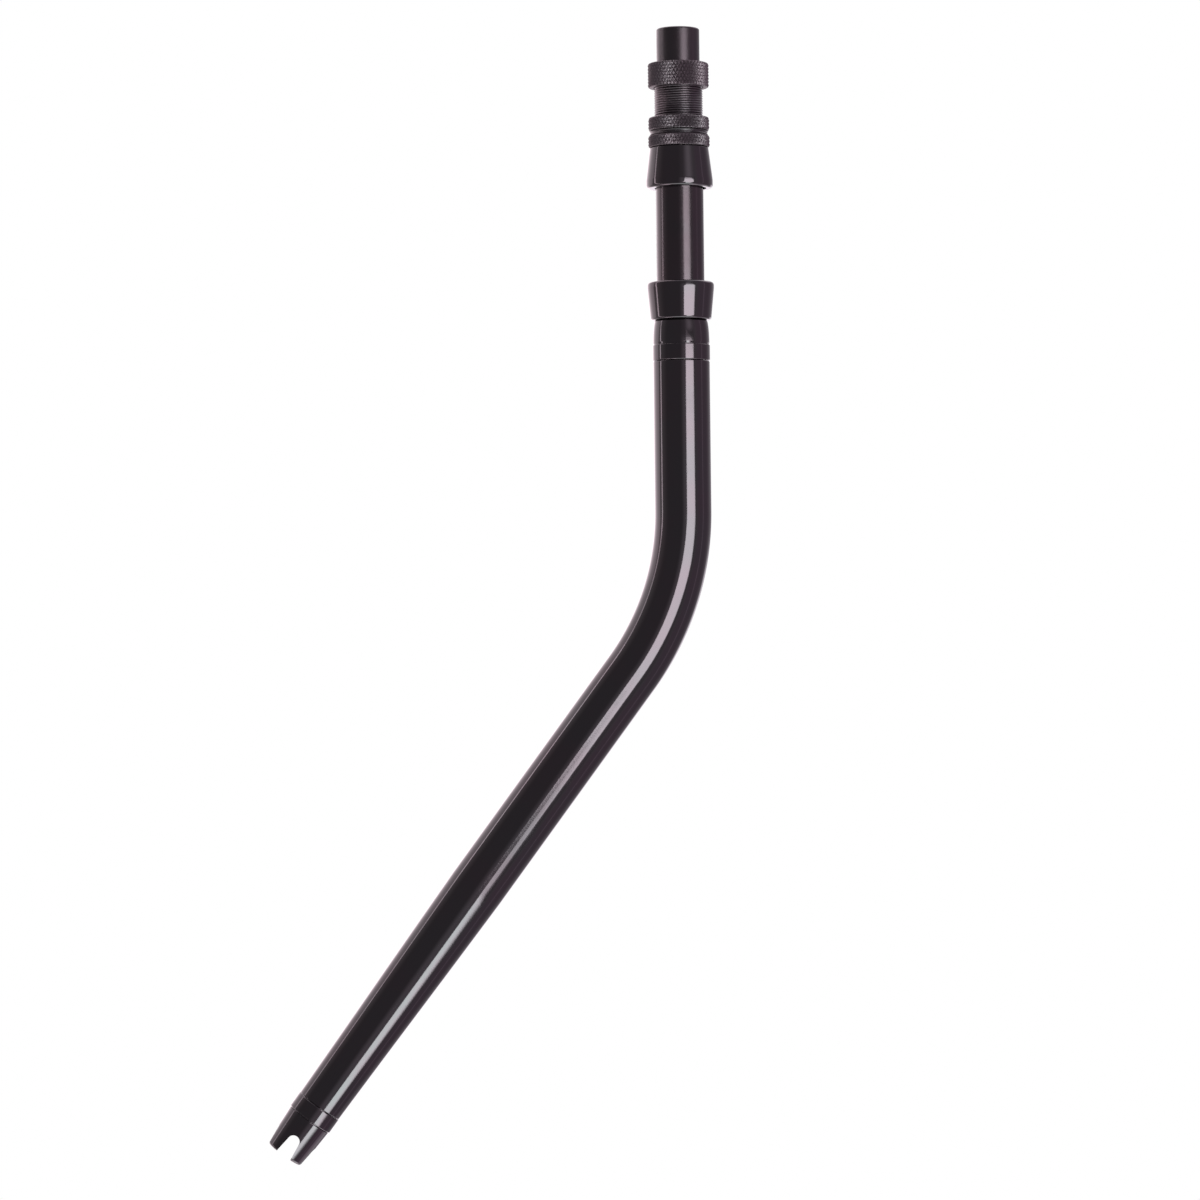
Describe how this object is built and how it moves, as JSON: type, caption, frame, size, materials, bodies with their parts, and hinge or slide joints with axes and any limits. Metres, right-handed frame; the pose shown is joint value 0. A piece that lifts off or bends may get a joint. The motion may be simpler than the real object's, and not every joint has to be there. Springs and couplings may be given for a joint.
{
  "type": "bent rod butt",
  "caption": "Bent tubular rod butt with a cross-slotted end, two hoods that clamp a foot, knurled lock rings on a thread, and a nut that holds a rod ferrule.",
  "frame": {"origin": "centre of the slotted gimbal's end face", "axes": "+Z parallel to the rod's axis, from the gimbal towards the ferrule; the tube bends in the XZ plane; the reel sits on the +X side"},
  "size_m": [0.2539, 0.0376, 0.6357],
  "materials": {
    "black_gloss": "gloss black anodised",
    "black_satin": "satin black anodised, knurled or threaded",
    "steel": "brushed stainless",
    "brass": "machined",
    "rubber": "matte",
    "nylon": "natural nylon"
  },
  "bodies": {
    "butt": {"butt_tube": "black_gloss", "gimbal": "black_gloss", "gimbal_pin": "steel", "seat_barrel": "black_gloss", "barrel_pin": "steel", "seat_collar": "black_gloss", "lower_hood": "black_gloss", "hood_screw": "steel"},
    "thrust_carrier": {"thrust_washer": "nylon"},
    "clamp": {"clamp_ring": "black_satin"},
    "hood": {"upper_hood": "black_gloss", "hood_key": "brass"},
    "jam_carrier": {"jam_washer": "black_satin"},
    "jam": {"jam_ring": "black_satin"},
    "ferrule": {"rod_ferrule": "black_satin", "ferrule_key": "brass", "ferrule_o_ring": "rubber"},
    "nut_carrier": {"slip_washer": "nylon"},
    "nut": {"ferrule_nut": "black_satin"}
  },
  "joints": [
    {"name": "clamp_travel", "type": "slide", "parent": "butt", "child": "thrust_carrier", "axis": [0, 0, 1], "range_m": [-0.0135, 0.00675]},
    {"name": "clamp_turn", "type": "hinge", "parent": "thrust_carrier", "child": "clamp", "pos_m": [0.22706, 0, 0.56589], "axis": [0, 0, 1], "range_deg": [-3600, 1800]},
    {"name": "hood_slide", "type": "slide", "parent": "thrust_carrier", "child": "hood", "axis": [0, 0, 1], "range_m": [-0.039, 0]},
    {"name": "jam_travel", "type": "slide", "parent": "thrust_carrier", "child": "jam_carrier", "axis": [0, 0, 1], "range_m": [0, 0.00675]},
    {"name": "jam_turn", "type": "hinge", "parent": "jam_carrier", "child": "jam", "pos_m": [0.22706, 0, 0.57569], "axis": [0, 0, 1], "range_deg": [0, 1800]},
    {"name": "ferrule_pull", "type": "slide", "parent": "butt", "child": "ferrule", "axis": [0, 0, 1], "range_m": [0, 0.07]},
    {"name": "nut_travel", "type": "slide", "parent": "ferrule", "child": "nut_carrier", "axis": [0, 0, 1], "range_m": [0, 0.00945]},
    {"name": "nut_turn", "type": "hinge", "parent": "nut_carrier", "child": "nut", "pos_m": [0.22706, 0, 0.60319], "axis": [0, 0, 1], "range_deg": [0, 2520]}
  ],
  "couplings": [
    {"joint": "clamp_travel", "follows": "clamp_turn", "m_per_rad": 0.00021486},
    {"joint": "jam_travel", "follows": "jam_turn", "m_per_rad": 0.00021486},
    {"joint": "nut_travel", "follows": "nut_turn", "m_per_rad": 0.00021486}
  ]
}
